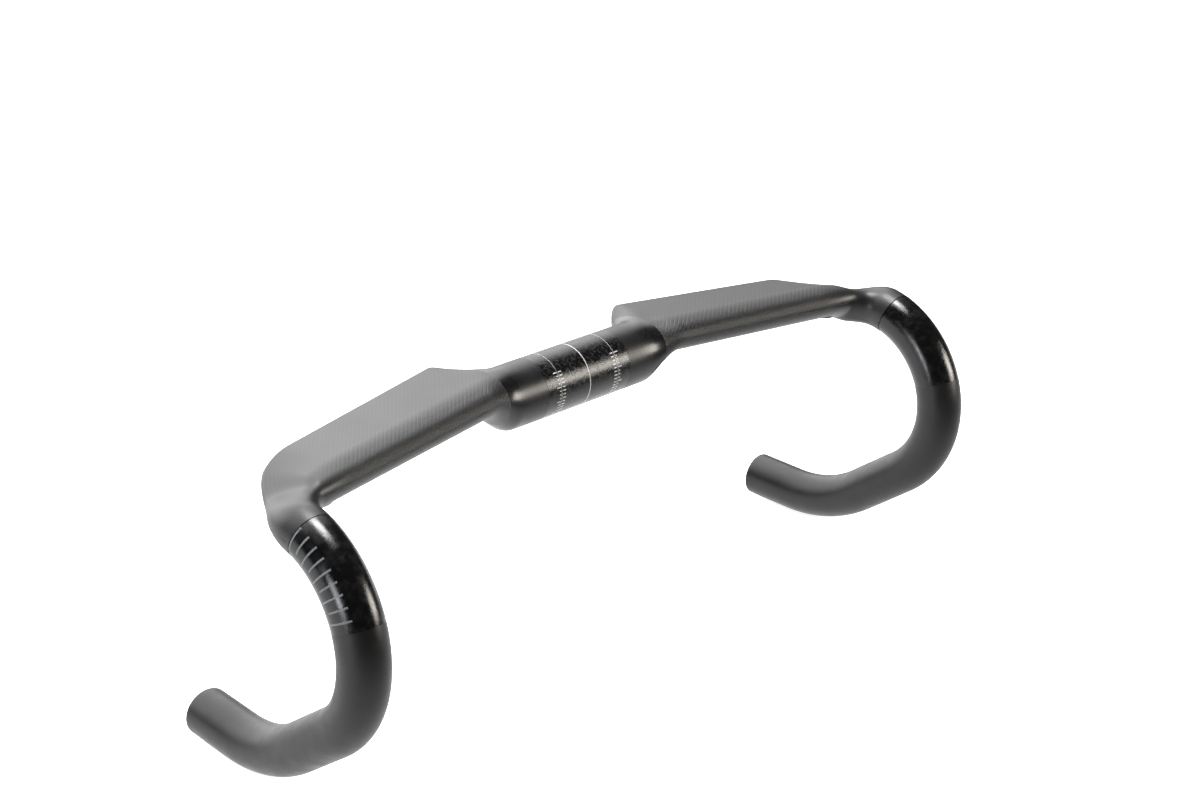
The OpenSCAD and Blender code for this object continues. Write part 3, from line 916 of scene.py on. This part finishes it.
def on_lever(p, q, layer):
    """Point on the lever film: p along the hook bend, q around the tube."""
    (y, z), a = on_hook(NECK_ANGLE + p)
    r = DROP_R + INK_LIFT + INK_T * layer
    out = -inward(a) * r * math.sin(rad(q))
    return to_bar(np.float64(r * math.cos(rad(q))), y + out[0], z + out[1])


def lever_marks():
    """Marks on the outer side of the bend, long and short by turns."""
    patches = []
    for i in range(LEVER_MARKS):
        a = LEVER_FILM * i / LEVER_MARKS
        patches.append(patch((a, a + LEVER_MARK_W), (LEVER_MARK_FROM[i % 2], LEVER_MARK_TO),
                             2, 9, on_lever))
    return patches


for side, word in SIDES:
    ring_solid("drop_" + word, drop_rings(), satin, "drop_tube_" + word, side)
    ring_solid("lever_film_" + word, film_rings(), lever_grip, "lever_grip_film_" + word, side)
    marks("lever_marks_" + word, lever_marks(), grey_ink, "lever_scale_" + word, side)

# ---- CAD solids that stay: hidden sleeves ----------------------------------------
for name in ("shoulder_sleeve_left", "shoulder_sleeve_right", "drop_sleeve_left", "drop_sleeve_right"):
    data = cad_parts[name].data
    data.materials.clear()
    data.materials.append(raw)

# ---- Cable ports ------------------------------------------------------------------
# The middle of each port, and how far its axis tilts from vertical about X and Y
TIP_PORT = ((173.0, -21.0, -8.1), (-8.7, 8.4))
CENTRE_PORT = ((76.0, 0.0, -2.6), (11.0, 1.2))
SEAT = 1.2                       # depth of the flange's seat in the skin
FLANGE_R, FLANGE_T = 5.4, 1.4
NECK_R, NECK_LEN = 4.2, 2.2
HOSE_R = 2.8
FLANGE_EDGE = 0.55               # rounding of the flange's lower edges
PORT_N = 64                      # points around a port
CUTTER_LEN = 16.0


def port_frame(port):
    (x, y, z), (tilt_x, tilt_y) = port
    rot = Matrix.Rotation(rad(tilt_y), 4, "Y") @ Matrix.Rotation(rad(tilt_x), 4, "X")
    return Matrix.Translation((x, y, z)) @ rot


def flange_edge(r, size, angles):
    """Rounded lower edge of the flange at radius r; at the hole, size is negative."""
    return [(r - size + size * math.cos(rad(t)),
             SEAT - FLANGE_T + abs(size) * (1 - math.sin(rad(t)))) for t in angles]


def grommet(port, side, name, node):
    profile = [(NECK_R, SEAT), (FLANGE_R, SEAT)]
    profile += flange_edge(FLANGE_R, FLANGE_EDGE, np.linspace(0, 90, 6))
    profile += flange_edge(HOSE_R, -FLANGE_EDGE, np.linspace(90, 0, 6))
    profile += [(HOSE_R, SEAT + NECK_LEN), (NECK_R, SEAT + NECK_LEN)]
    m = np.array(port_frame(port))
    a = circle(PORT_N)
    rings = []
    for r, z in profile:
        p = np.stack([r * np.cos(a), r * np.sin(a), np.full(PORT_N, z), np.ones(PORT_N)], -1)
        rings.append((p @ m.T)[:, :3])
    ring_solid(name, rings, rubber, node, side)


def cut_hole(ob, port, side):
    """Cuts the port through the skin, and keeps the skin's own normals."""
    keep = ob.copy()
    keep.data = ob.data.copy()
    scene.collection.objects.link(keep)
    bm = bmesh.new()
    bmesh.ops.create_cone(bm, cap_ends=True, segments=PORT_N, radius1=FLANGE_R * MM,
                          radius2=FLANGE_R * MM, depth=CUTTER_LEN * MM)
    m = port_frame(port)
    m.translation *= MM
    bmesh.ops.transform(bm, matrix=m, verts=bm.verts)
    if side < 0:
        bmesh.ops.scale(bm, vec=(-1, 1, 1), verts=bm.verts)
        bmesh.ops.reverse_faces(bm, faces=bm.faces)
    data = bpy.data.meshes.new("port_cutter")
    bm.to_mesh(data)
    bm.free()
    cutter = bpy.data.objects.new("port_cutter", data)
    scene.collection.objects.link(cutter)
    cut = ob.modifiers.new("port", "BOOLEAN")
    cut.operation = "DIFFERENCE"
    cut.solver = "EXACT"
    cut.object = cutter
    carry = ob.modifiers.new("normals", "DATA_TRANSFER")
    carry.object = keep
    carry.use_loop_data = True
    carry.data_types_loops = {"CUSTOM_NORMAL"}
    carry.loop_mapping = "POLYINTERP_NEAREST"
    bpy.context.view_layer.update()
    dg = bpy.context.evaluated_depsgraph_get()
    done = bpy.data.meshes.new_from_object(ob.evaluated_get(dg))
    ob.modifiers.clear()
    ob.data = done
    bpy.data.objects.remove(cutter)
    bpy.data.objects.remove(keep)


for side, word in SIDES:
    for port, spot in ((TIP_PORT, "tip"), (CENTRE_PORT, "centre")):
        cut_hole(lower_skins[word], port, side)
        grommet(port, side, f"{spot}_grommet_{word}", f"{spot}_port_grommet_{word}")
